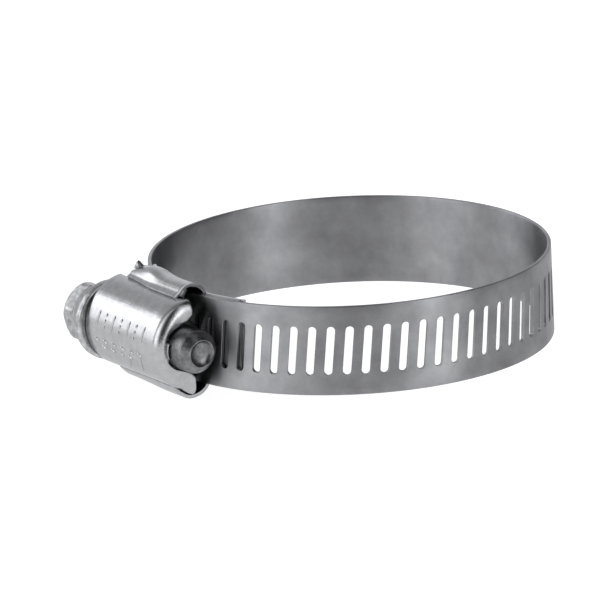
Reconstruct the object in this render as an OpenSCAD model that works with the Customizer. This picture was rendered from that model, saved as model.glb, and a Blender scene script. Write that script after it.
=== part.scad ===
// Interlocked worm-drive hose clamp, 1/2 inch band, millimetres.
// Origin: centre of the clamped hose. +Z: hose axis. The housing sits at -Y.
// The worm screw lies along X with its head at -X.

/* [Band] */
// inner radius of the clamp opening at rest, in mm
bore_r = 27.4; // [26.5:0.1:28.5]
// width of the band along the hose, in mm
band_w = 12.7; // [12.5:0.1:12.8]
// thickness of the band sheet, in mm
band_t = 0.55; // [0.45:0.05:0.6]

/* [Slots] */
// length of one worm slot across the band, in mm
slot_len = 7; // [6:0.1:8]
// width of one worm slot along the band, in mm
slot_w = 1.15; // [1.1:0.01:1.3]
// angle from one slot to the next seen from the ring centre, in degrees
slot_step = 5.238; // [5.238:0.001:5.24]
// lean of a slot away from the hose axis, in degrees
slot_lean = 6.2; // [5.5:0.1:7]

/* [Screw] */
// radius of the plain shank and of the round tip, in mm
shank_r = 3.05; // [2.8:0.05:3.1]
// radius over the crest of the worm thread, in mm
crest_r = 3.8; // [3.6:0.05:3.85]
// size of the hex head across its flats, in mm
hex_af = 7.94; // [7:0.01:8]
// radius of the collar behind the hex head, in mm
collar_r = 5.7; // [5:0.1:5.7]

/* [Housing] */
// sheet thickness of the housing cap, in mm
cap_t = 0.7; // [0.6:0.05:0.75]
// sheet thickness of the saddle wings, in mm
wing_t = 0.6; // [0.5:0.05:0.6]

/* [Hidden] */
$fn = 240;
// distance from the hose axis to the screw axis
axis_y = -32.6;
// how far the slotted end is lifted off the bore circle under the housing
lift = 0.61;
slot_r = bore_r + lift;
// how far the plain end has spiralled outwards where it is anchored
rise = 0.65;
rise_at = 157.944;
rise_r = bore_r + rise;
rise_x = -rise * cos(rise_at);
rise_y = -rise * sin(rise_at);
// angles of the thirteen flexing places of the band, from the anchor round
hinge_step = (241 - 41.665) / 12;
// the plain end's run under the housing
liner_r = bore_r + 0.578;
liner_from = -117.68;
liner_to = -67;
slot_zero = -50;
tail_at = -111.5;
// the worm
pitch = 28.5 * slot_step * PI / 180;
crest_x = 28.5 * sin(slot_zero - 8 * slot_step + 90);
thread_steps = 20;
// the cap: a half tube that is wider than the worm inside it
cap_out = 6.5;
cap_in = cap_out - cap_t;
cap_y = -30.8;
cap_x0 = -11.2;
cap_x1 = 7;
cap_round = 1.1;
arm_y = -31.2;
arm_x = 4.9;
foot_y = -29.3;
foot_z = 7.25;
// the saddle and its wings
saddle_from = -116.5;
saddle_to = -66;
wing_x0 = -8.6;
wing_x1 = 4.4;
wing_z = 8.05;
wing_round = 1.6;
wing_back = -27.75;
wing_front = -31.75;
web_z = 6.4;

// which sub-part to build

function hinge_at(k) = 241 - hinge_step * k;

// a curved strip of band about the local origin
module strip(r, a0, a1) {
  rotate([0, 0, a0])
    rotate_extrude(angle = a1 - a0)
      translate([r, -band_w / 2])
        square([band_t, band_w]);
}

// outline of one slot, long side upright
module slot_outline() {
  square([slot_w, slot_len - slot_w], center = true);
  translate([0, (slot_len - slot_w) / 2])
    circle(d = slot_w, $fn = 32);
  translate([0, -(slot_len - slot_w) / 2])
    circle(d = slot_w, $fn = 32);
}

// cutter for the slot at angle a of a strip whose inner radius is r
module slot_cutter(r, a) {
  rotate([0, 0, a])
    translate([r - 1, 0, 0])
      rotate([90, 0, 90])
        rotate([0, 0, -slot_lean])
          linear_extrude(height = 2.5)
            slot_outline();
}

// a strip on the lifted circle that carries the slots from k0 to k1
module slotted_strip(a0, a1, k0, k1) {
  translate([0, -lift, 0])
    difference() {
      strip(slot_r, a0, a1);
      for (k = [k0:k1])
        slot_cutter(slot_r, slot_zero + slot_step * k);
    }
}

// rounding of one corner of the free tail of the band
module tail_corner(s) {
  translate([0, -lift, 0])
    rotate([0, 0, tail_at])
      difference() {
        translate([slot_r - 1, -1, s > 0 ? band_w / 2 - 2 : -band_w / 2 - 1])
          cube([3, 3, 3]);
        translate([slot_r - 2, 2, s * (band_w / 2 - 2)])
          rotate([0, 90, 0])
            cylinder(r = 2, h = 5);
      }
}

// the whole free end of the band that the worm drives
module slotted_end() {
  color("#b4b5b6")
    difference() {
      slotted_strip(tail_at, hinge_at(12), -11, 17);
      tail_corner(1);
      tail_corner(-1);
    }
}

// slotted band between two flexing places on the lifted circle
module slotted_link(k, k0, k1) {
  color("#b4b5b6")
    slotted_strip(hinge_at(k + 1), hinge_at(k), k0, k1);
}

// band between two flexing places on the spiral part
module rising_link(k) {
  color("#b4b5b6")
    translate([rise_x, rise_y, 0])
      strip(rise_r, hinge_at(k + 1), hinge_at(k));
}

// band between two angles on the bore circle
module bore_link(a0, a1) {
  color("#b4b5b6")
    strip(bore_r, a0, a1);
}

// plain end of the band, running under the housing as a smooth tongue
module anchor_end() {
  color("#b4b5b6")
    strip(liner_r, liner_from, liner_to);
}

// section of the half tube and its closed tip end, radius against length
module cap_section() {
  translate([cap_in, cap_x0])
    square([cap_t, cap_x1 - cap_x0 - cap_round]);
  translate([0, cap_x1 - cap_t])
    square([cap_out - cap_round, cap_t]);
  translate([cap_out - cap_round, cap_x1 - cap_round])
    intersection() {
      difference() {
        circle(r = cap_round);
        circle(r = cap_round - cap_t);
      }
      square([cap_round, cap_round]);
    }
}

// one side wall of the cap with its foot
module cap_side() {
  translate([cap_x0, cap_y, cap_in])
    cube([arm_x - cap_x0, foot_y - cap_y, cap_t]);
  translate([0, foot_y - cap_t, 0])
    rotate([-90, -90, 0])
      linear_extrude(height = cap_t)
        polygon([[cap_in + 0.1, cap_x0], [cap_out + 0.1, cap_x0], [foot_z, cap_x0 + 1],
          [foot_z, 3.6], [cap_out + 0.1, arm_x], [cap_in + 0.1, arm_x]]);
}

// the horseshoe opening round the plain tip of the screw
module cap_opening() {
  translate([4, 0, 0])
    rotate([0, 90, 0])
      linear_extrude(height = 5) {
        translate([0, axis_y])
          circle(r = shank_r + 0.2);
        polygon([[-2.4, axis_y - 2.2], [-4.7, arm_y], [-4.7, arm_y + 3], [4.7, arm_y + 3],
          [4.7, arm_y], [2.4, axis_y - 2.2]]);
      }
}

// raised generic marks along the crown of the cap
module cap_marks() {
  for (i = [0:4])
    translate([-8 + 3 * i, cap_y - cap_out + 0.1, 0])
      rotate([90, 0, 0])
        cylinder(r = i % 2 == 0 ? 0.9 : 0.6, h = 0.25);
}

// the arched cover over the worm
module housing_cap() {
  color("#c9cacc") {
    difference() {
      translate([0, cap_y, 0])
        rotate([0, 90, 0])
          rotate([0, 0, 180])
            rotate_extrude(angle = 180)
              cap_section();
      cap_opening();
      translate([arm_x, arm_y, -10])
        cube([5, 5, 20]);
    }
    cap_side();
    mirror([0, 0, 1])
      cap_side();
    cap_marks();
  }
}

// one rounded corner of a wing's section, opening towards dir
module wing_corner(y, dir, from) {
  translate([wing_z - wing_round, y])
    intersection() {
      difference() {
        circle(r = wing_round);
        circle(r = wing_round - wing_t);
      }
      translate([from, dir > 0 ? 0 : -2])
        square([2, 2]);
    }
}

// cross-section of one wing: out past the band's edge, over and down on the cap
module wing_section() {
  translate([wing_z - wing_t, wing_front + wing_round])
    square([wing_t, wing_back - wing_front - 2 * wing_round]);
  wing_corner(wing_back - wing_round, 1, 0);
  // the lip stops just clear of the cap
  wing_corner(wing_front + wing_round, -1, 0.2);
}

// pointed ear standing up at the head end of the upper wing
module wing_ear() {
  translate([wing_x0, -29.2, wing_z - 0.2])
    rotate([90, 0, 0])
      linear_extrude(height = 0.6)
        polygon([[0, 0], [1, 0], [0.1, 0.9], [0, 0.9]]);
}

// one wing of the saddle, with the web that stands it on the base arc
module wing() {
  translate([wing_x0, 0, 0])
    rotate([0, 90, 0])
      linear_extrude(height = wing_x1 - wing_x0)
        wing_section();
  difference() {
    translate([wing_x0 + 0.3, wing_back - wing_t + 0.08, -web_z - wing_t])
      cube([wing_x1 - wing_x0 - 0.6, 3, wing_t]);
    cylinder(r = bore_r + 0.32, h = 40, center = true);
  }
}

// arc of sheet under the band, with a thin rim for the webs
module saddle_base() {
  rotate([0, 0, saddle_from])
    rotate_extrude(angle = saddle_to - saddle_from)
      translate([bore_r, -band_w / 2])
        square([wing_t - 0.05, band_w]);
  rotate([0, 0, -90 + asin(wing_x0 / bore_r) + 0.5])
    rotate_extrude(angle = asin(wing_x1 / bore_r) - asin(wing_x0 / bore_r) - 1)
      translate([bore_r + 0.3, -web_z - wing_t + 0.05])
        square([0.22, 2 * (web_z + wing_t) - 0.1]);
}

// the sheet that wraps round the band and holds the cap down
module saddle() {
  color("#bfc1c3") {
    saddle_base();
    wing();
    mirror([0, 0, 1])
      wing();
    wing_ear();
  }
}

// outline of the turned body of the screw, radius against length
module screw_outline() {
  polygon([[0, -15.6], [4.5, -15.6], [collar_r - 0.15, -12.9], [collar_r, -12.6],
    [collar_r, -11.35], [shank_r, -11.35], [shank_r, 9.6], [shank_r - 0.25, 10.35],
    [1.95, 11.2], [1.7, 11.2], [1.3, 10.7], [0, 10.6]]);
}

// helical ridge of the worm, right-hand
module worm_thread() {
  n0 = -54;
  n1 = 52;
  function fade(i) = min(1, (i - n0) / 6, (n1 - i) / 6);
  function at(i, r, dx) = [crest_x + pitch * i / thread_steps + dx,
    r * cos(360 * i / thread_steps), r * sin(360 * i / thread_steps)];
  pts = [for (i = [n0:n1]) for (q = [0:3])
    at(i, q == 0 || q == 3 ? 2.6 : 2.75 + (crest_r - 2.75) * fade(i),
      q == 0 ? -0.66 : q == 1 ? -0.3 : q == 2 ? 0.3 : 0.66)];
  m = n1 - n0;
  sides = [for (i = [0:m - 1]) for (q = [0:3]) for (h = [0:1])
    h == 0 ? [4 * i + q, 4 * i + (q + 1) % 4, 4 * i + 4 + q]
      : [4 * i + (q + 1) % 4, 4 * i + 4 + (q + 1) % 4, 4 * i + 4 + q]];
  caps = [[3, 2, 1, 0], [4 * m, 4 * m + 1, 4 * m + 2, 4 * m + 3]];
  polyhedron(points = pts, faces = concat(sides, caps), convexity = 10);
}

// hex head with a chamfered end and a driver slot
module hex_head() {
  difference() {
    intersection() {
      translate([0, 0, -18.5])
        cylinder(r = hex_af / 2 / cos(30), h = 3, $fn = 6);
      rotate_extrude()
        polygon([[0, -18.5], [3.7, -18.5], [4.7, -17.9], [4.7, -15.5], [0, -15.5]]);
    }
    translate([-6, -0.6, -19])
      cube([12, 1.2, 2]);
  }
}

// the worm screw: head, collar, thread and plain tip in one piece
module worm_screw() {
  color("#a9abad")
    translate([0, axis_y, 0]) {
      rotate([0, 90, 0])
        rotate_extrude()
          screw_outline();
      rotate([0, 90, 0])
        hex_head();
      worm_thread();
    }
}

housing_cap();
saddle();
worm_screw();
anchor_end();  // band_anchor_end
rising_link(0);  // band_flex_a1
rising_link(1);  // band_flex_a2
rising_link(2);  // band_flex_a3
rising_link(3);  // band_flex_a4
rising_link(4);  // band_flex_a5
bore_link(hinge_at(6), hinge_at(5));  // band_flex_a6
bore_link(hinge_at(7), hinge_at(6));  // band_flex_a7
bore_link(hinge_at(7.5), hinge_at(7));  // band_flex_a8
bore_link(hinge_at(8), hinge_at(7.5));  // band_flex_b5
bore_link(hinge_at(9), hinge_at(8));  // band_flex_b4
slotted_link(9, 0, -1);  // band_flex_b3
slotted_link(10, 0, -1);  // band_flex_b2
slotted_link(11, 18, 19);  // band_flex_b1
slotted_end();  // band_slotted_end
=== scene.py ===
import math

import bmesh
import bpy
import numpy as np
from mathutils import Matrix, Vector


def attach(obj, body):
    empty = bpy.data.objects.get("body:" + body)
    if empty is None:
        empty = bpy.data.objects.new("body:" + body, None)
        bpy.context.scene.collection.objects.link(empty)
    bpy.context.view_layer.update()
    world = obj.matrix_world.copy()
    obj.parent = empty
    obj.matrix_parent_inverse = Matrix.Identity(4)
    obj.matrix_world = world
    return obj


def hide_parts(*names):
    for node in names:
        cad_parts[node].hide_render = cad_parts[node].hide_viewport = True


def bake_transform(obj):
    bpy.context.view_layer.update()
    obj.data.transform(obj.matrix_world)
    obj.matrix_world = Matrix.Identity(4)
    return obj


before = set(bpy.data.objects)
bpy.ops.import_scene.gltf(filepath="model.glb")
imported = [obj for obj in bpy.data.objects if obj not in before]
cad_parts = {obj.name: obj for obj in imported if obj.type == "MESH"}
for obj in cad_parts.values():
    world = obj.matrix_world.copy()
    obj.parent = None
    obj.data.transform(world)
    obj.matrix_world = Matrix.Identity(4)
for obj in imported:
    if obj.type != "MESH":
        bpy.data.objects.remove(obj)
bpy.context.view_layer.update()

MM = 0.001

# ---------------------------------------------------------------- dimensions
# millimetres and degrees, with the same driving sizes as the solids
BORE_R = 27.4
BAND_T = 0.55
HALF_W = 6.35
LIFT = 0.61
SLOT_STEP = 5.238
SLOT_ZERO = -50.0
SLOT_LEN, SLOT_W, SLOT_LEAN = 7.0, 1.15, math.radians(6.2)
TAIL_AT = -111.5
RISE = 0.65
RISE_AT = 157.944
ANCHOR_AT, LAST_HINGE_AT = 241.0, 41.665
HINGE_STEP = (ANCHOR_AT - LAST_HINGE_AT) / 12
AXIS_Y = -32.6
SHANK_R = 3.05
CREST_R = 3.8
MESH_R = 28.5
PITCH = MESH_R * math.radians(SLOT_STEP)
CREST_X = MESH_R * math.sin(math.radians(SLOT_ZERO - 8 * SLOT_STEP + 90))
LINER_LIFT = 0.578
LINER_FROM, LINER_TO = -117.68, -67.0
SADDLE_FROM, SADDLE_TO = -116.5, -66.0
TAIL_CORNER = 2.0
SMOOTH_BELOW = 32.0
WELD = 1e-4


def hinge_at(k):
    """Angle of the band's flexing place k, counted from the anchor round."""
    return ANCHOR_AT - HINGE_STEP * k


def unit(a):
    """The direction at an angle in degrees round the ring."""
    a = math.radians(a)
    return np.array([math.cos(a), math.sin(a)])


# centre and inner radius of the circles that the band runs on
RISING = (-RISE * unit(RISE_AT), BORE_R + RISE)
BORE = (np.zeros(2), BORE_R)
LIFTED = (np.array([0.0, -LIFT]), BORE_R + LIFT)
LINER = (np.zeros(2), BORE_R + LINER_LIFT)


# ------------------------------------------------------------------- meshes
def finish_mesh(name, verts, faces, uvs=None, sharp=SMOOTH_BELOW, close=False):
    """Make an object from millimetre points, weld it, and mark the edges that stay sharp."""
    me = bpy.data.meshes.new(name)
    me.from_pydata([tuple(np.array(v) * MM) for v in verts], [], faces)
    if uvs is not None:
        layer = me.uv_layers.new(name="UVMap")
        for loop in me.loops:
            layer.data[loop.index].uv = uvs[loop.vertex_index]
    bm = bmesh.new()
    bm.from_mesh(me)
    bmesh.ops.remove_doubles(bm, verts=bm.verts, dist=WELD * MM)
    open_edges = [e for e in bm.edges if len(e.link_faces) == 1]
    if close and open_edges:
        bmesh.ops.holes_fill(bm, edges=open_edges, sides=0)
    bmesh.ops.recalc_face_normals(bm, faces=bm.faces)
    soften(bm, sharp)
    bm.to_mesh(me)
    bm.free()
    me.update()
    ob = bpy.data.objects.new(name, me)
    bpy.context.scene.collection.objects.link(ob)
    return ob


def soften(bm, sharp):
    """Smooth shading, broken at edges that turn by more than sharp degrees."""
    limit = math.radians(sharp)
    for f in bm.faces:
        f.smooth = True
    for e in bm.edges:
        e.smooth = len(e.link_faces) == 2 and e.calc_face_angle(0) < limit


# --------------------------------------------------------------------- band
RIM = 0.12
ROWS_STRAIGHT = np.linspace(-(SLOT_LEN - SLOT_W) / 2, (SLOT_LEN - SLOT_W) / 2, 9)
ROWS_END = np.linspace((SLOT_LEN - SLOT_W) / 2, HALF_W - RIM, 5)[1:]
ROWS = np.concatenate([-ROWS_END[::-1], ROWS_STRAIGHT, ROWS_END])


class Band:
    """Builds a strip of band from columns of points: along the band, across it and through its thickness."""

    def __init__(self, circle, tail=False):
        self.centre, self.radius = circle
        self.tail = tail
        self.verts, self.faces, self.uvs, self.index = [], [], [], {}

    def v(self, a, z, h):
        """Number of the point at angle a, height z across the band and depth h."""
        key = (round(a, 5), round(z, 5), round(h, 5))
        if key not in self.index:
            zz = z
            if self.tail:
                along = math.radians(a - TAIL_AT) * self.radius
                if along < TAIL_CORNER:
                    reach = math.sqrt(max(TAIL_CORNER ** 2 - (TAIL_CORNER - along) ** 2, 0))
                    zz = z * (HALF_W - TAIL_CORNER + reach) / HALF_W
            p = self.centre + (self.radius + h) * unit(a)
            self.index[key] = len(self.verts)
            self.verts.append((p[0], p[1], zz))
            self.uvs.append((math.radians(a) * (self.radius + 0.3) * 0.01, zz * 0.01))
        return self.index[key]

    def quad(self, pts):
        """A face through the points, without the corners that fall together."""
        ids = [self.v(*p) for p in pts]
        out = []
        for i in ids:
            if i not in out:
                out.append(i)
        if len(out) > 2:
            self.faces.append(out)

    def rim(self, angles):
        """The rounded top and bottom edges over the given columns."""
        steps = [(HALF_W - RIM, BAND_T)]
        for t in (30, 60, 90):
            t = math.radians(t)
            steps.append((HALF_W - RIM + RIM * math.sin(t), BAND_T - RIM + RIM * math.cos(t)))
        for t in (90, 60, 30, 0):
            t = math.radians(t)
            steps.append((HALF_W - RIM + RIM * math.sin(t), RIM - RIM * math.cos(t)))
        for a0, a1 in zip(angles[:-1], angles[1:]):
            for (z0, h0), (z1, h1) in zip(steps[:-1], steps[1:]):
                for s in (1, -1):
                    self.quad([(a0, s * z0, h0), (a1, s * z0, h0), (a1, s * z1, h1), (a0, s * z1, h1)])

    def plain(self, a0, a1, step=1.2):
        """Band without slots between two angles."""
        n = max(1, int(math.ceil(abs(a1 - a0) / step)))
        angles = [a0 + (a1 - a0) * i / n for i in range(n + 1)]
        for p, q in zip(angles[:-1], angles[1:]):
            for z0, z1 in zip(ROWS[:-1], ROWS[1:]):
                for h in (0.0, BAND_T):
                    self.quad([(p, z0, h), (q, z0, h), (q, z1, h), (p, z1, h)])
        self.rim(angles)

    def cell(self, k):
        """One slot with the band round it, exactly one slot step long."""
        mid = SLOT_ZERO + SLOT_STEP * k
        mm_to_deg = math.degrees(1 / (self.radius + BAND_T / 2))
        half = SLOT_STEP / 2 / mm_to_deg
        straight = ROWS_STRAIGHT[-1]

        def outline(grow):
            r = SLOT_W / 2 + grow
            upper = np.linspace(0, math.pi, 13)[1:-1]
            lower = np.linspace(math.pi, 2 * math.pi, 13)[1:-1]
            pts = [(r, z) for z in ROWS_STRAIGHT]
            pts += [(r * math.cos(t), straight + r * math.sin(t)) for t in upper]
            pts += [(-r, z) for z in ROWS_STRAIGHT[::-1]]
            pts += [(r * math.cos(t), -straight + r * math.sin(t)) for t in lower]
            c, s = math.cos(SLOT_LEAN), math.sin(SLOT_LEAN)
            return [(x * c + z * s, -x * s + z * c) for x, z in pts]

        top = HALF_W - RIM
        up = [(half, z) for z in ROWS_END]
        over = [(half * x, top) for x in (0.5, 0.0, -0.5, -1.0)]
        down = [(-half, z) for z in ROWS_END[::-1][1:]]
        cap = up + over + down
        outer = [(half, z) for z in ROWS_STRAIGHT] + cap
        outer += [(-half, z) for z in ROWS_STRAIGHT[::-1]] + [(-x, -z) for x, z in cap]
        n = len(outer)
        edge = 0.05
        wide, tight = outline(edge), outline(0.0)
        rings = []
        for t in (1.0, 0.62, 0.3, 0.0):
            ring = [(wx + (ox - wx) * t, wz + (oz - wz) * t) for (ox, oz), (wx, wz) in zip(outer, wide)]
            rings.append(ring)
        for h in (0.0, BAND_T):
            for r0, r1 in zip(rings[:-1], rings[1:]):
                for i in range(n):
                    j = (i + 1) % n
                    self.quad([(mid + x * mm_to_deg, z, h) for x, z in (r0[i], r0[j], r1[j], r1[i])])
        wall = [(wide, BAND_T), (tight, BAND_T - edge), (tight, edge), (wide, 0.0)]
        for (l0, h0), (l1, h1) in zip(wall[:-1], wall[1:]):
            for i in range(n):
                j = (i + 1) % n
                corners = ((l0[i], h0), (l0[j], h0), (l1[j], h1), (l1[i], h1))
                self.quad([(mid + x * mm_to_deg, z, h) for (x, z), h in corners])
        self.rim([mid + half * x * mm_to_deg for x in (-1.0, -0.5, 0.0, 0.5, 1.0)])

    def cells(self, a0, a1, k0, k1):
        """Slots k0 to k1, with plain band out to the angles a0 and a1."""
        first = SLOT_ZERO + SLOT_STEP * (k0 - 0.5)
        last = SLOT_ZERO + SLOT_STEP * (k1 + 0.5)
        if first - a0 > 1e-3:
            self.plain(a0, first)
        for k in range(k0, k1 + 1):
            self.cell(k)
        if a1 - last > 1e-3:
            self.plain(last, a1)

    def build(self, name):
        return finish_mesh(name, self.verts, self.faces, self.uvs, close=True)


def baked(ob, sharp):
    """Apply the object's modifiers to its mesh and mark the edges that stay sharp."""
    deps = bpy.context.evaluated_depsgraph_get()
    me = bpy.data.meshes.new_from_object(ob.evaluated_get(deps))
    ob.modifiers.clear()
    ob.data = me
    bm = bmesh.new()
    bm.from_mesh(me)
    soften(bm, sharp)
    bm.to_mesh(me)
    bm.free()
    return ob


def sheet(name, verts, faces, thick, offset=-1.0, edge=0.09, uvs=None):
    """A surface of millimetre points thickened into sheet metal with softened edges."""
    ob = finish_mesh(name, verts, faces, uvs)
    solid = ob.modifiers.new("thick", "SOLIDIFY")
    solid.thickness = thick * MM
    solid.offset = offset
    solid.use_quality_normals = True
    bevel = ob.modifiers.new("edge", "BEVEL")
    bevel.width = edge * MM
    bevel.segments = 2
    bevel.limit_method = "ANGLE"
    bevel.angle_limit = math.radians(50)
    return baked(ob, 40)


def grid_faces(rows, cols, start=0):
    """Four-sided faces over a grid of points that are numbered row by row."""
    faces = []
    for r in range(rows - 1):
        for c in range(cols - 1):
            q = start + r * cols + c
            faces.append((q, q + 1, q + cols + 1, q + cols))
    return faces


def joined(name, parts):
    """One object from several, with their meshes copied into one."""
    bm = bmesh.new()
    for p in parts:
        bm.from_mesh(p.data)
    me = bpy.data.meshes.new(name)
    bm.to_mesh(me)
    bm.free()
    for p in parts:
        bpy.data.objects.remove(p)
    ob = bpy.data.objects.new(name, me)
    bpy.context.scene.collection.objects.link(ob)
    return ob


def spline(points, n):
    """A smooth curve through the points, sampled n times between each pair."""
    pts = [np.array(p, float) for p in points]
    pts = [2 * pts[0] - pts[1]] + pts + [2 * pts[-1] - pts[-2]]
    out = []
    for i in range(1, len(pts) - 2):
        p0, p1, p2, p3 = pts[i - 1:i + 3]
        for j in range(n):
            t = j / n
            out.append(0.5 * (2 * p1 + (p2 - p0) * t + (2 * p0 - 5 * p1 + 4 * p2 - p3) * t * t
                              + (3 * p1 - p0 - 3 * p2 + p3) * t ** 3))
    out.append(pts[-2])
    return out


# -------------------------------------------------------------- housing cap
CAP_Y, CAP_OUT, CAP_T = -30.8, 6.5, 0.7
CAP_X0, CAP_X1, ARM_X, ARM_Y = -11.2, 7.0, 4.0, -31.2
CAP_FILLET = 1.45
FOOT_X0, FOOT_X1 = -8.2, 2.6
LOBE_DROP, LOBE_FROM, LOBE_RUN = 0.8, -32.8, 1.5


def opening_path(n):
    """The horseshoe edge from one arm over the screw's tip to the other, n points."""
    r = SHANK_R + 0.3
    pts = [(4.55, ARM_Y), (3.9, -31.9)]
    for t in np.linspace(12, 168, 15):
        t = math.radians(t)
        pts.append((r * math.cos(t), AXIS_Y - r * math.sin(t)))
    pts += [(-3.9, -31.9), (-4.55, ARM_Y)]
    dense = spline(pts, 6)
    length = np.concatenate([[0], np.cumsum([np.linalg.norm(b - a) for a, b in zip(dense[:-1], dense[1:])])])
    where = np.linspace(0, length[-1], n)
    return [np.array([np.interp(w, length, [p[i] for p in dense]) for i in (0, 1)]) for w in where]


def lobe_drop(z, y):
    """How far the lower arm at the tip end bends out to the saddle's lip."""
    if z >= 0:
        return 0.0
    return LOBE_DROP * min(max((y - LOBE_FROM) / LOBE_RUN, 0.0), 1.0)


def make_cap():
    """The arched cover: a half tube on two feet, rounded in at the tip end to its horseshoe opening."""
    arm = math.degrees(math.asin((CAP_Y - ARM_Y) / CAP_OUT))
    alphas = np.linspace(arm, 180 - arm, 49)
    arch = []
    for a in alphas:
        t = math.radians(a)
        arch.append((CAP_OUT * math.cos(t), CAP_Y - CAP_OUT * math.sin(t)))
    foot = [(7.25, -30.0), (7.0, -30.0), (6.78, -30.04), (6.6, -30.18), (6.52, -30.4), (6.5, -30.8)]
    path = foot + arch + [(-z, y) for z, y in foot[::-1]]
    xs = [CAP_X0, -10.6, -9.8, -9.0] + list(np.linspace(FOOT_X0, ARM_X, 24))
    verts, uvs = [], []
    for x in xs:
        for i, (z, y) in enumerate(path):
            verts.append((x, y, z))
            uvs.append((x * 0.01, i * 0.0035))
    faces = []
    for a in range(len(xs) - 1):
        for c in range(len(path) - 1):
            in_foot = c < len(foot) or c > len(path) - 2 - len(foot)
            if in_foot and not FOOT_X0 <= xs[a] <= FOOT_X1:
                continue
            q = a * len(path) + c
            faces.append((q, q + 1, q + 1 + len(path), q + len(path)))
    # the tip end: straight on, round the fillet and in to the opening
    start = len(verts)
    rows = [(ARM_X, 0.0), (CAP_X1 - CAP_FILLET, 0.0)]
    for t in np.linspace(10, 90, 9):
        t = math.radians(t)
        rows.append((CAP_X1 - CAP_FILLET + CAP_FILLET * math.sin(t), CAP_FILLET * (1 - math.cos(t))))
    opening = opening_path(len(arch))
    lobe = [(z - lobe_drop(z, y), y) for z, y in arch]
    for x, inward in rows:
        for z, y in lobe:
            d = np.array([z, y]) - np.array([0, CAP_Y])
            p = np.array([z, y]) - d / np.linalg.norm(d) * inward
            p[1] = min(p[1], ARM_Y)
            verts.append((x, p[1], p[0]))
            uvs.append((x * 0.01, 0.02))
    last = len(verts) - len(arch)
    for t in (0.35, 0.7, 1.0):
        for i, o in enumerate(opening):
            x, y, z = verts[last + i]
            verts.append((x, y + (o[1] - y) * t, z + (o[0] - z) * t))
            uvs.append((0.07, 0.02 * t))
    faces += grid_faces(len(rows) + 3, len(arch), start)
    return sheet("cap_shell", verts, faces, CAP_T, uvs=uvs)


def on_cap(x, deg, out=0.0):
    """A point of the crown: deg is 0 at the crest and grows towards +Z."""
    t = math.radians(deg)
    return np.array([x, CAP_Y - (CAP_OUT + out) * math.cos(t), (CAP_OUT + out) * math.sin(t)])


def bead(path, width, height):
    """A low rounded ridge along crown positions (x, deg)."""
    verts, faces = [], []
    n = len(path)
    for i, (x, d) in enumerate(path):
        x0, d0 = path[max(i - 1, 0)]
        x1, d1 = path[min(i + 1, n - 1)]
        along = np.array([x1 - x0, math.radians(d1 - d0) * CAP_OUT])
        along /= np.linalg.norm(along)
        side = np.array([-along[1], along[0]])
        taper = 1.0 if 0 < i < n - 1 else 0.35
        for s in np.linspace(-1, 1, 7):
            off = side * s * width / 2 * taper
            h = height * taper * math.sqrt(max(1 - s * s, 0)) - 0.03
            verts.append(on_cap(x + off[0], d + math.degrees(off[1] / CAP_OUT), h))
    faces += grid_faces(n, 7)
    return verts, faces


def stroke(x, deg, dx, ddeg, n=5, bow=1):
    """Crown positions from (x, deg) on by (dx, ddeg). A bow of 2 bends the stroke."""
    return [(x + dx * t ** bow, deg + ddeg * t) for t in np.linspace(0, 1, n)]


def make_marks():
    """Raised generic marks on the crown: whole and broken bars over dashes, and two long arcs."""
    paths = []
    for i in range(7):
        x = -8.35 + 1.88 * i
        if i % 2:
            for k in range(3):
                paths.append(stroke(x + 0.2 - 0.16 * k, 26 - 8 * k, -0.096, -4.8))
        else:
            paths.append(stroke(x + 0.3, 27, -0.5, -22, n=9))
    for i in range(6):
        paths.append(stroke(-9.2 + 2.2 * i, -9, 1.0, -4))
    for i in range(4):
        paths.append(stroke(-7.6 + 2.2 * i, -18, 0.9, -4))
    paths.append(stroke(2.15, -8, -1.2, -31, n=12, bow=2))
    paths.append(stroke(-0.9, -16, -2.4, -29, n=12, bow=2))
    verts, faces = [], []
    for path in paths:
        v, f = bead(path, 0.38, 0.17)
        faces += [tuple(i + len(verts) for i in q) for q in f]
        verts += v
    return finish_mesh("cap_marks", verts, faces, sharp=60)


# ------------------------------------------------------------------- saddle
WING_X0, WING_X1 = -8.6, 4.4


# Sections of the wings at their head end and at their tip end, as heights from mid-width and places
# in line with the screw's axis, from the band's edge to the lip on the cap.
UPPER_HEAD = [(6.15, 0.0), (6.42, -0.08), (6.85, -27.85), (7.2, -28.25),
              (7.5, -28.8), (7.62, -29.35), (7.6, -29.95), (7.42, -30.45),
              (7.15, -30.85), (6.85, -31.2), (6.6, -31.65)]
UPPER_TIP = [(6.15, 0.0), (6.42, -0.08), (6.85, -27.85), (7.25, -28.2),
             (7.6, -28.75), (7.84, -29.5), (7.84, -30.2), (7.68, -30.8),
             (7.33, -31.25), (6.92, -31.68), (6.5, -32.3)]
LOWER_HEAD = [(6.15, 0.0), (6.42, -0.08), (6.8, -27.85), (7.1, -28.35),
              (7.4, -28.95), (7.58, -29.6), (7.66, -30.3), (7.6, -31.0),
              (7.3, -31.75), (6.7, -32.6), (5.78, -33.5)]
LOWER_TIP = [(6.15, 0.0), (6.42, -0.08), (6.9, -27.8), (7.4, -28.15),
             (7.8, -28.7), (8.02, -29.4), (8.1, -30.1), (8.02, -30.8),
             (7.68, -31.55), (7.0, -32.4), (5.82, -33.45)]
# how far the first points follow the base's curve, and how much of the swell each point takes
FOLLOW = [1.0, 1.0, 0.75, 0.45, 0.15]
SWELL = [0, 0, 0.15, 0.55, 0.9, 1.0, 0.9, 0.6, 0.25, 0.0, 0.0]
WING_R, WING_FLAT_R = 27.68, 27.6
WING_T = 0.5
EAR_HIGH, EAR_LONG, EAR_AT, EAR_HALF = 0.95, 0.8, -29.85, 0.72


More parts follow.
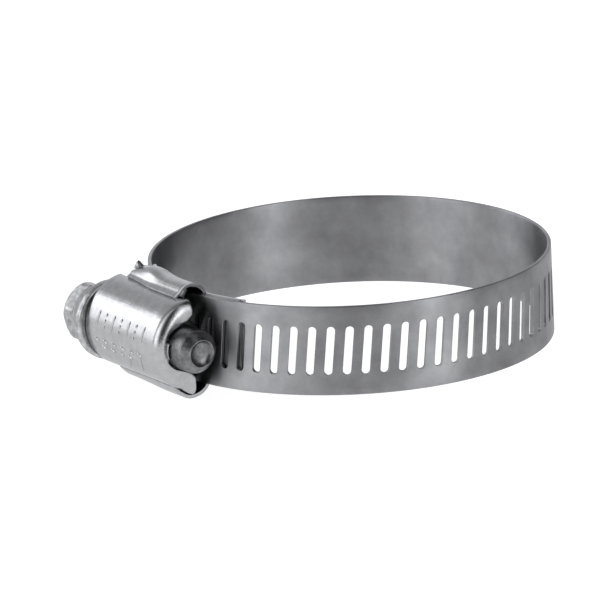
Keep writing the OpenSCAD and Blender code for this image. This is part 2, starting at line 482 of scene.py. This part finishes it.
def wing_path(x, sign):
    """Mid-surface section of a wing at a length x, from the band's edge to the lip on the cap."""
    head, tip = (UPPER_HEAD, UPPER_TIP) if sign > 0 else (LOWER_HEAD, LOWER_TIP)
    back = -math.sqrt(WING_R ** 2 - x * x)
    w = min(max((x - WING_X0) / (7.5 if sign > 0 else 9.5), 0.0), 1.0)
    w = w * w * (3 - 2 * w)
    swell = 0.6 * math.exp(-((x + 4.5) / 2.5) ** 2) if sign > 0 else 0.12 * math.exp(-(x / 3.0) ** 2)
    path = []
    for i, (p, q) in enumerate(zip(head, tip)):
        z = p[0] + (q[0] - p[0]) * w
        y = p[1] + (q[1] - p[1]) * w
        if i < 2:
            y += back
        elif i < len(FOLLOW):
            y += FOLLOW[i] * (back + WING_FLAT_R)
        path.append((z + swell * SWELL[i], y))
    return spline(path, 5)


def make_wing(sign):
    """One wing: past the band's edge, over in an arch and down on the cap. sign is +1 above."""
    fine_to = WING_X0 + 1.2
    xs = list(np.linspace(WING_X0, fine_to, 16)) + list(np.linspace(fine_to, WING_X1, 28))[1:]
    verts, uvs = [], []
    for x in xs:
        path = wing_path(x, sign)
        s = max(0.0, 1 - (x - WING_X0) / EAR_LONG)
        for i, (z, y) in enumerate(path):
            ear = 0.0
            if sign > 0:
                ear = EAR_HIGH * s * max(0.0, 1 - abs(y - EAR_AT) / EAR_HALF)
            verts.append((x, y, sign * (z + ear)))
            uvs.append((x * 0.01, i * 0.003))
    faces = grid_faces(len(xs), len(path))
    return sheet("wing", verts, faces, WING_T, offset=0.0, edge=0.06, uvs=uvs)


def make_saddle():
    """The sheet inside the band with its two folded wings."""
    base = Band((np.zeros(2), BORE_R))
    base.plain(SADDLE_FROM, SADDLE_TO)
    parts = [base.build("base"), make_wing(1), make_wing(-1)]
    return joined("saddle_body", parts)


# -------------------------------------------------------------------- screw
def lathe(profile, n=96):
    """Turn (length, radius) points about the screw's axis."""
    verts, faces = [], []
    for x, r in profile:
        for i in range(n):
            t = 2 * math.pi * i / n
            verts.append((x, AXIS_Y + r * math.cos(t), r * math.sin(t)))
    for k in range(len(profile) - 1):
        for i in range(n):
            j = (i + 1) % n
            faces.append((k * n + i, k * n + j, (k + 1) * n + j, (k + 1) * n + i))
    return verts, faces


def rounded(points, radius, n=5):
    """Round the corners of an open path."""
    pts = [np.array(p, float) for p in points]
    out = [pts[0]]
    for a, b, c in zip(pts[:-2], pts[1:-1], pts[2:]):
        u, v = a - b, c - b
        lu, lv = np.linalg.norm(u), np.linalg.norm(v)
        d = min(radius, lu * 0.45, lv * 0.45)
        p, q = b + u / lu * d, b + v / lv * d
        for t in np.linspace(0, 1, n):
            out.append((1 - t) ** 2 * p + 2 * t * (1 - t) * b + t * t * q)
    out.append(pts[-1])
    return out


def make_screw():
    """Shank with its dished round tip, collar, head and thread."""
    body = [(-11.4, SHANK_R), (9.4, SHANK_R)]
    body += rounded([(9.4, SHANK_R), (9.95, SHANK_R), (11.05, 2.02), (11.2, 1.95)], 0.5, 8)[1:-1]
    body += [(11.16, 2.0), (11.2, 1.94), (11.2, 1.88), (11.12, 1.8)]
    body += [(10.85, 1.66), (10.62, 1.3), (10.52, 0.8), (10.5, 0.001)]
    v1, f1 = lathe(body)
    cone = [(-11.36, 2.9), (-11.36, 5.68), (-12.5, 5.7), (-14.2, 4.75), (-15.7, 4.3), (-15.7, 2.0)]
    collar = rounded(cone, 0.5, 7)
    v2, f2 = lathe(collar)
    parts = [finish_mesh("turned", v1, f1, sharp=50), finish_mesh("collar", v2, f2, sharp=50)]
    parts.append(make_head())
    parts.append(make_thread())
    return joined("screw_body", parts)


HEAD_AF = 7.94
HEAD_TURN = 46.0
HEAD_CORNER_R = 4.5
HEAD_END = -18.5
SLOT_CUT = (3.0, 1.2, 14.0)
SLOT_CUT_TURN = math.radians(-20)


def make_head():
    """Hex head with softened corners, a chamfered end and a driver slot."""
    n = 144
    verts, faces = [], []
    profile = [(-15.2, 9.0), (-17.0, 9.0), (-17.3, 4.42), (-17.6, 4.3), (-17.9, 4.12), (-18.15, 3.9)]
    profile += [(-18.35, 3.66), (-18.46, 3.4), (HEAD_END, 3.1), (HEAD_END, 2.0), (HEAD_END, 0.001)]
    for x, cap in profile:
        for i in range(n):
            t = 360 * i / n
            d = (t - HEAD_TURN + 30) % 60 - 30
            r = min(HEAD_AF / 2 / math.cos(math.radians(d)), HEAD_CORNER_R, cap)
            a = math.radians(t)
            verts.append((x, AXIS_Y - r * math.cos(a), r * math.sin(a)))
    for k in range(len(profile) - 1):
        for i in range(n):
            j = (i + 1) % n
            faces.append((k * n + i, k * n + j, (k + 1) * n + j, (k + 1) * n + i))
    ob = finish_mesh("head", verts, faces, sharp=25)
    bpy.ops.mesh.primitive_cube_add(size=1)
    cutter = bpy.context.object
    cutter.scale = [d * MM for d in SLOT_CUT]
    cutter.location = (HEAD_END * MM, AXIS_Y * MM, 0)
    cutter.rotation_euler = (SLOT_CUT_TURN, 0, 0)
    bpy.context.view_layer.update()
    mod = ob.modifiers.new("slot", "BOOLEAN")
    mod.operation = "DIFFERENCE"
    mod.solver = "EXACT"
    mod.object = cutter
    baked(ob, 25)
    bpy.data.objects.remove(cutter)
    return ob


ROOT_R = 2.75


def make_thread():
    """The worm's ridge: a rounded trapezium swept along a right-hand helix, fading out at both ends."""
    section = [(-0.72, ROOT_R), (-0.56, 3.1), (-0.33, CREST_R - 0.08), (-0.22, CREST_R)]
    section += [(-dx, r) for dx, r in section[::-1]]
    per = 48
    n0, n1 = int(-2.7 * per), int(2.6 * per)
    verts, faces = [], []
    for i in range(n0, n1 + 1):
        fade = min(1.0, (i - n0) / (0.3 * per), (n1 - i) / (0.3 * per))
        t = 2 * math.pi * i / per
        for dx, r in section:
            rr = ROOT_R + (r - ROOT_R) * (0.15 + 0.85 * fade)
            verts.append((CREST_X + PITCH * i / per + dx, AXIS_Y + rr * math.cos(t), rr * math.sin(t)))
    m = len(section)
    for k in range(n1 - n0):
        for q in range(m):
            w = (q + 1) % m
            faces.append((k * m + q, k * m + w, (k + 1) * m + w, (k + 1) * m + q))
    last = (n1 - n0) * m
    faces.append(tuple(range(m)))
    faces.append(tuple(range(last + m - 1, last - 1, -1)))
    return finish_mesh("thread", verts, faces, sharp=40)


# ---------------------------------------------------------------- materials
class Nodes:
    """Small helper for node-based materials."""

    def __init__(self, name):
        self.mat = bpy.data.materials.new(name)
        self.mat.use_nodes = True
        self.tree = self.mat.node_tree
        self.bsdf = self.tree.nodes["Principled BSDF"]
        self.bsdf.inputs["Metallic"].default_value = 1.0
        self.bsdf.inputs["Specular Tint"].default_value = (0.72, 0.72, 0.73, 1)

    def add(self, kind, **values):
        node = self.tree.nodes.new(kind)
        for key, value in values.items():
            if hasattr(node, key):
                setattr(node, key, value)
            else:
                node.inputs[key].default_value = value
        return node

    def link(self, a, out, b, into):
        self.tree.links.new(a.outputs[out], b.inputs[into])

    def mapped(self, scale, source="Object"):
        coord = self.add("ShaderNodeTexCoord")
        mapping = self.add("ShaderNodeMapping")
        mapping.inputs["Scale"].default_value = scale
        self.link(coord, source, mapping, "Vector")
        return mapping

    def noise(self, mapping, scale, detail=4.0, rough=0.55):
        n = self.add("ShaderNodeTexNoise", Scale=scale, Detail=detail, Roughness=rough)
        self.link(mapping, "Vector", n, "Vector")
        return n

    def ramp(self, src, out, stops):
        r = self.add("ShaderNodeValToRGB")
        els = r.color_ramp.elements
        while len(els) < len(stops):
            els.new(0.5)
        for el, (pos, col) in zip(els, stops):
            el.position = pos
            el.color = (col, col, col, 1) if isinstance(col, (int, float)) else (*col, 1)
        self.link(src, out, r, "Fac")
        return r

    def bump(self, src, out, strength, distance):
        b = self.add("ShaderNodeBump", Strength=strength, Distance=distance)
        self.link(src, out, b, "Height")
        self.link(b, "Normal", self.bsdf, "Normal")
        return b


def band_material():
    """Rolled stainless strip: fine grain along the band, faint mottling and soft wear."""
    m = Nodes("band_steel")
    grain = m.noise(m.mapped((3.0, 240.0, 1.0), "UV"), 60.0, 3.0, 0.6)
    mottle = m.noise(m.mapped((1, 1, 1)), 220.0, 5.0, 0.6)
    broad = m.noise(m.mapped((1, 1, 1)), 45.0, 2.0, 0.5)
    color = m.ramp(mottle, "Fac", [(0.3, (0.26, 0.262, 0.273)), (0.7, (0.385, 0.387, 0.397))])
    mix = m.add("ShaderNodeMixRGB", blend_type="MULTIPLY")
    mix.inputs["Fac"].default_value = 0.6
    m.link(color, "Color", mix, "Color1")
    g = m.ramp(grain, "Fac", [(0.3, 0.72), (0.65, 1.0)])
    m.link(g, "Color", mix, "Color2")
    m.link(mix, "Color", m.bsdf, "Base Color")
    add = m.add("ShaderNodeMath", operation="MULTIPLY_ADD")
    add.inputs[1].default_value = 0.14
    add.inputs[2].default_value = 0.33
    m.link(broad, "Fac", add, 0)
    m.link(add, "Value", m.bsdf, "Roughness")
    m.bump(grain, "Fac", 0.18, 0.00002)
    m.bsdf.inputs["Anisotropic"].default_value = 0.93
    m.bsdf.inputs["Anisotropic Rotation"].default_value = 0.25
    tangent = m.add("ShaderNodeTangent", direction_type="UV_MAP")
    m.link(tangent, "Tangent", m.bsdf, "Tangent")
    return m.mat


def sheet_material(name, dark, light, rough, strength):
    """Bright pressed sheet steel with drawing marks and small dents."""
    m = Nodes(name)
    lines = m.noise(m.mapped((1.0, 14.0, 14.0)), 260.0, 4.0, 0.6)
    spots = m.noise(m.mapped((1, 1, 1)), 900.0, 5.0, 0.65)
    dents = m.noise(m.mapped((1, 1, 1)), 230.0, 2.0, 0.5)
    color = m.ramp(spots, "Fac", [(0.3, dark), (0.7, light)])
    m.link(color, "Color", m.bsdf, "Base Color")
    add = m.add("ShaderNodeMath", operation="MULTIPLY_ADD")
    add.inputs[1].default_value = 0.16
    add.inputs[2].default_value = rough
    m.link(lines, "Fac", add, 0)
    m.link(add, "Value", m.bsdf, "Roughness")
    both = m.add("ShaderNodeMath", operation="MULTIPLY_ADD")
    both.inputs[1].default_value = 0.25
    m.link(lines, "Fac", both, 0)
    m.link(dents, "Fac", both, 2)
    m.bump(both, "Value", strength, 0.00012)
    return m.mat


def screw_material():
    """Zinc-plated turned steel: mottled and slightly grainy, brighter at the head end and darker towards the
    tip.
    """
    m = Nodes("screw_zinc")
    mottle = m.noise(m.mapped((1, 1, 1)), 1100.0, 6.0, 0.7)
    patches = m.noise(m.mapped((1, 1, 1)), 260.0, 3.0, 0.55)
    tones = [(0.32, (0.17, 0.172, 0.176)), (0.5, (0.29, 0.293, 0.298)), (0.68, (0.46, 0.46, 0.465))]
    color = m.ramp(mottle, "Fac", tones)
    mix = m.add("ShaderNodeMixRGB", blend_type="MULTIPLY")
    mix.inputs["Fac"].default_value = 0.5
    m.link(color, "Color", mix, "Color1")
    p = m.ramp(patches, "Fac", [(0.35, 0.6), (0.65, 1.0)])
    m.link(p, "Color", mix, "Color2")
    # the base colour is raised 1.4 times at the head end and lowered to 0.62 times at the tip end, blended
    # along the screw
    place = m.add("ShaderNodeSeparateXYZ")
    coord = m.add("ShaderNodeTexCoord")
    m.link(coord, "Object", place, "Vector")
    along = m.add("ShaderNodeMapRange")
    along.inputs["From Min"].default_value = -0.006
    along.inputs["From Max"].default_value = 0.006
    along.inputs["To Min"].default_value = 1.4
    along.inputs["To Max"].default_value = 0.62
    m.link(place, "X", along, "Value")
    head_to_tip_tone = m.add("ShaderNodeMixRGB", blend_type="MULTIPLY")
    head_to_tip_tone.inputs["Fac"].default_value = 1.0
    m.link(mix, "Color", head_to_tip_tone, "Color1")
    m.link(along, "Result", head_to_tip_tone, "Color2")
    m.link(head_to_tip_tone, "Color", m.bsdf, "Base Color")
    add = m.add("ShaderNodeMath", operation="MULTIPLY_ADD")
    add.inputs[1].default_value = 0.25
    add.inputs[2].default_value = 0.21
    m.link(mottle, "Fac", add, 0)
    m.link(add, "Value", m.bsdf, "Roughness")
    m.bump(mottle, "Fac", 0.35, 0.00006)
    return m.mat


STEEL = band_material()
SHEET_DARK, SHEET_LIGHT = (0.34, 0.345, 0.355), (0.43, 0.433, 0.44)
CAP_STEEL = sheet_material("cap_steel", SHEET_DARK, SHEET_LIGHT, 0.15, 0.45)
SADDLE_STEEL = sheet_material("saddle_steel", SHEET_DARK, SHEET_LIGHT, 0.16, 0.3)
ZINC = screw_material()


def dress(ob, mat):
    """Give an object its material and its material slot."""
    ob.data.materials.clear()
    ob.data.materials.append(mat)
    return ob


# ----------------------------------------------------------------- assembly
def band_piece(name, spans, node, body=None, tail=False):
    """One visible length of band. spans: (circle, from, to, first slot, last slot)."""
    parts = []
    for circle, a0, a1, k0, k1 in spans:
        s = Band(circle, tail)
        if k0 is None:
            s.plain(a0, a1)
        else:
            s.cells(a0, a1, k0, k1)
        parts.append(s)
    first = parts[0]
    for other in parts[1:]:
        shift = len(first.verts)
        first.verts += other.verts
        first.uvs += other.uvs
        first.faces += [[i + shift for i in f] for f in other.faces]
    ob = first.build(name)
    dress(ob, STEEL)
    if body:
        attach(ob, body)
    else:
        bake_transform(ob)
    if node:
        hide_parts(node)
    return ob


def circle_for(a):
    """The circle that the band runs on at an angle, by the flexing place it belongs to."""
    if a >= hinge_at(5) - 1e-6:
        return RISING
    if a >= hinge_at(9) - 1e-6:
        return BORE
    return LIFTED


M_AT = hinge_at(7.5)
SLOT_EDGE_B = SLOT_ZERO + SLOT_STEP * 19.5
SLOT_EDGE_A = SLOT_ZERO + SLOT_STEP * 16.5

band_piece("band_anchor", [(LINER, LINER_FROM, LINER_TO, None, None)], "band_anchor_end", body="housing")

# from the anchor round to the open meeting place at M_AT, one blended length per flexing place
for k in range(8):
    high = ANCHOR_AT if k == 0 else hinge_at(k - 0.5)
    low = M_AT if k == 7 else hinge_at(k + 0.5)
    parts = []
    for top, bottom in ((high, hinge_at(k)), (hinge_at(k), low)):
        if top - bottom > 1e-6:
            parts.append((circle_for((top + bottom) / 2), bottom, top, None, None))
    band_piece("band_a%d" % (k + 1), parts, "band_flex_a%d" % (k + 1))

# from the open meeting place on to the slotted end
for k in range(8, 13):
    high = M_AT if k == 8 else hinge_at(k - 0.5)
    low = hinge_at(k + 0.5)
    if k == 11:
        low = SLOT_EDGE_B
    if k == 12:
        high, low = SLOT_EDGE_B, SLOT_EDGE_A
    if k == 12:
        parts = [(LIFTED, low, high, 17, 19)]
    else:
        parts = [(circle_for((high + hinge_at(k)) / 2), hinge_at(k), high, None, None),
                 (circle_for((low + hinge_at(k)) / 2), low, hinge_at(k), None, None)]
    band_piece("band_b%d" % (13 - k), parts, "band_flex_b%d" % (13 - k))

slotted = [(LIFTED, TAIL_AT, SLOT_EDGE_A, -11, 16)]
band_piece("band_slotted", slotted, "band_slotted_end", body="slotted_end", tail=True)

cap = make_cap()
marks = make_marks()
cap = joined("cap_body", [cap, marks])
dress(cap, CAP_STEEL)
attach(cap, "housing")
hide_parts("housing_cap")

saddle = make_saddle()
dress(saddle, SADDLE_STEEL)
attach(saddle, "housing")
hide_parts("saddle")

screw = make_screw()
dress(screw, ZINC)
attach(screw, "screw")
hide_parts("worm_screw")


# -------------------------------------------------------- camera and lights
AZIMUTH, ELEVATION, ROLL = math.radians(56.6), math.radians(16.075), math.radians(-2.621)
DISTANCE, SENSOR, LENS = 1458.0, 36.0, 624.255
AIM = (-7.175, 0.0, -0.713)
PIVOT_Y = -0.3


def turned(p):
    """A point given beside the camera's line of sight, turned by its azimuth about the ring's pivot."""
    c, s = math.cos(AZIMUTH), math.sin(AZIMUTH)
    return np.array([c * p[0] - s * p[1], s * p[0] + c * p[1] + PIVOT_Y, p[2]])


def make_camera():
    """A long lens that looks down on the ring from the tip side of the housing."""
    place = turned((0, -DISTANCE * math.cos(ELEVATION), DISTANCE * math.sin(ELEVATION)))
    aim = turned(AIM)
    forward = (aim - place) / np.linalg.norm(aim - place)
    right = np.cross(forward, (0, 0, 1))
    right /= np.linalg.norm(right)
    up = np.cross(right, forward)
    r2 = math.cos(ROLL) * right + math.sin(ROLL) * up
    u2 = -math.sin(ROLL) * right + math.cos(ROLL) * up
    cam = bpy.data.cameras.new("camera")
    cam.sensor_width = SENSOR
    cam.lens = LENS
    cam.clip_start, cam.clip_end = 0.05, 20.0
    ob = bpy.data.objects.new("camera", cam)
    m = Matrix.Identity(4)
    for i in range(3):
        m[i][0], m[i][1], m[i][2] = r2[i], u2[i], -forward[i]
        m[i][3] = place[i] * MM
    ob.matrix_world = m
    bpy.context.scene.collection.objects.link(ob)
    bpy.context.scene.camera = ob


def area(name, azimuth, elevation, distance, size, power):
    """A soft box that looks at the part. Azimuth is measured as for the camera."""
    a, e = math.radians(azimuth), math.radians(elevation)
    back = Vector((math.sin(a) * math.cos(e), -math.cos(a) * math.cos(e), math.sin(e)))
    light = bpy.data.lights.new(name, "AREA")
    light.shape = "RECTANGLE"
    light.size, light.size_y = size
    light.energy = power
    ob = bpy.data.objects.new(name, light)
    ob.location = back * distance
    ob.rotation_mode = "QUATERNION"
    ob.rotation_quaternion = back.to_track_quat("Z", "Y")
    ob.visible_camera = False
    bpy.context.scene.collection.objects.link(ob)
    return ob


# brightness of the studio walls by azimuth in degrees
AROUND = [(-180, 0.1), (-142, 0.6), (-125, 1.3), (-110, 1.0), (-96, 0.8), (-75, 0.75),
          (-30, 0.8), (-5, 2.8), (12, 2.2), (28, 0.6), (43, 0.06), (75, 0.05),
          (89, 0.8), (104, 3.4), (114, 2.0), (126, 0.12), (150, 0.04), (180, 0.1)]
GLOW_AZIMUTH, GLOW_ELEVATION = math.radians(-57), math.radians(16)
FLOOR_Z = -8.9
FLOOR_HALF = 3.0


def make_world():
    """Studio walls: soft light and dark panels round the part, seen only as reflections and fill."""
    world = bpy.data.worlds.new("studio")
    bpy.context.scene.world = world
    world.use_nodes = True
    tree = world.node_tree
    bg = tree.nodes["Background"]
    coord = tree.nodes.new("ShaderNodeTexCoord")
    split = tree.nodes.new("ShaderNodeSeparateXYZ")
    tree.links.new(coord.outputs["Generated"], split.inputs[0])
    back = tree.nodes.new("ShaderNodeMath")
    back.operation = "MULTIPLY"
    back.inputs[1].default_value = -1.0
    tree.links.new(split.outputs["Y"], back.inputs[0])
    angle = tree.nodes.new("ShaderNodeMath")
    angle.operation = "ARCTAN2"
    tree.links.new(split.outputs["X"], angle.inputs[0])
    tree.links.new(back.outputs[0], angle.inputs[1])
    turn = tree.nodes.new("ShaderNodeMath")
    turn.operation = "MULTIPLY_ADD"
    turn.inputs[1].default_value = 0.5 / math.pi
    turn.inputs[2].default_value = 0.5
    tree.links.new(angle.outputs[0], turn.inputs[0])
    ramp = tree.nodes.new("ShaderNodeValToRGB")
    ramp.color_ramp.interpolation = "EASE"
    els = ramp.color_ramp.elements
    while len(els) < len(AROUND):
        els.new(0.5)
    for el, (deg, c) in zip(els, AROUND):
        el.position = (deg + 180) / 360
        el.color = (c, c, c * 1.02, 1)
    tree.links.new(turn.outputs[0], ramp.inputs["Fac"])
    high = tree.nodes.new("ShaderNodeMapRange")
    high.inputs["From Min"].default_value = 0.5
    high.inputs["From Max"].default_value = 0.95
    high.inputs["To Min"].default_value = 1.0
    high.inputs["To Max"].default_value = 0.35
    tree.links.new(split.outputs["Z"], high.inputs["Value"])
    toward = tree.nodes.new("ShaderNodeVectorMath")
    toward.operation = "DOT_PRODUCT"
    level = math.cos(GLOW_ELEVATION)
    aim = (math.sin(GLOW_AZIMUTH) * level, -math.cos(GLOW_AZIMUTH) * level, math.sin(GLOW_ELEVATION))
    toward.inputs[1].default_value = aim
    tree.links.new(coord.outputs["Generated"], toward.inputs[0])
    glow = tree.nodes.new("ShaderNodeMapRange")
    glow.interpolation_type = "SMOOTHSTEP"
    glow.inputs["From Min"].default_value = 0.915
    glow.inputs["From Max"].default_value = 0.988
    glow.inputs["To Min"].default_value = 0.0
    glow.inputs["To Max"].default_value = 2.1
    tree.links.new(toward.outputs["Value"], glow.inputs["Value"])
    total = tree.nodes.new("ShaderNodeMath")
    total.operation = "ADD"
    tree.links.new(high.outputs["Result"], total.inputs[0])
    tree.links.new(glow.outputs["Result"], total.inputs[1])
    tree.links.new(ramp.outputs["Color"], bg.inputs["Color"])
    tree.links.new(total.outputs[0], bg.inputs["Strength"])


def make_floor():
    """A plain pale floor just under the housing."""
    me = bpy.data.meshes.new("floor")
    z = FLOOR_Z * MM
    s = FLOOR_HALF
    me.from_pydata([(-s, -s, z), (s, -s, z), (s, s, z), (-s, s, z)], [], [(0, 1, 2, 3)])
    ob = bpy.data.objects.new("floor", me)
    bpy.context.scene.collection.objects.link(ob)
    mat = bpy.data.materials.new("floor")
    mat.use_nodes = True
    b = mat.node_tree.nodes["Principled BSDF"]
    b.inputs["Base Color"].default_value = (0.55, 0.55, 0.55, 1)
    b.inputs["Roughness"].default_value = 0.9
    b.inputs["Specular IOR Level"].default_value = 0.0
    b.inputs["Emission Color"].default_value = (1, 1, 1, 1)
    b.inputs["Emission Strength"].default_value = 0.84
    me.materials.append(mat)


make_camera()
make_world()
make_floor()
area("key", -62, 24, 0.9, (0.4, 0.22), 0.35)
bpy.context.scene.view_settings.view_transform = "Standard"
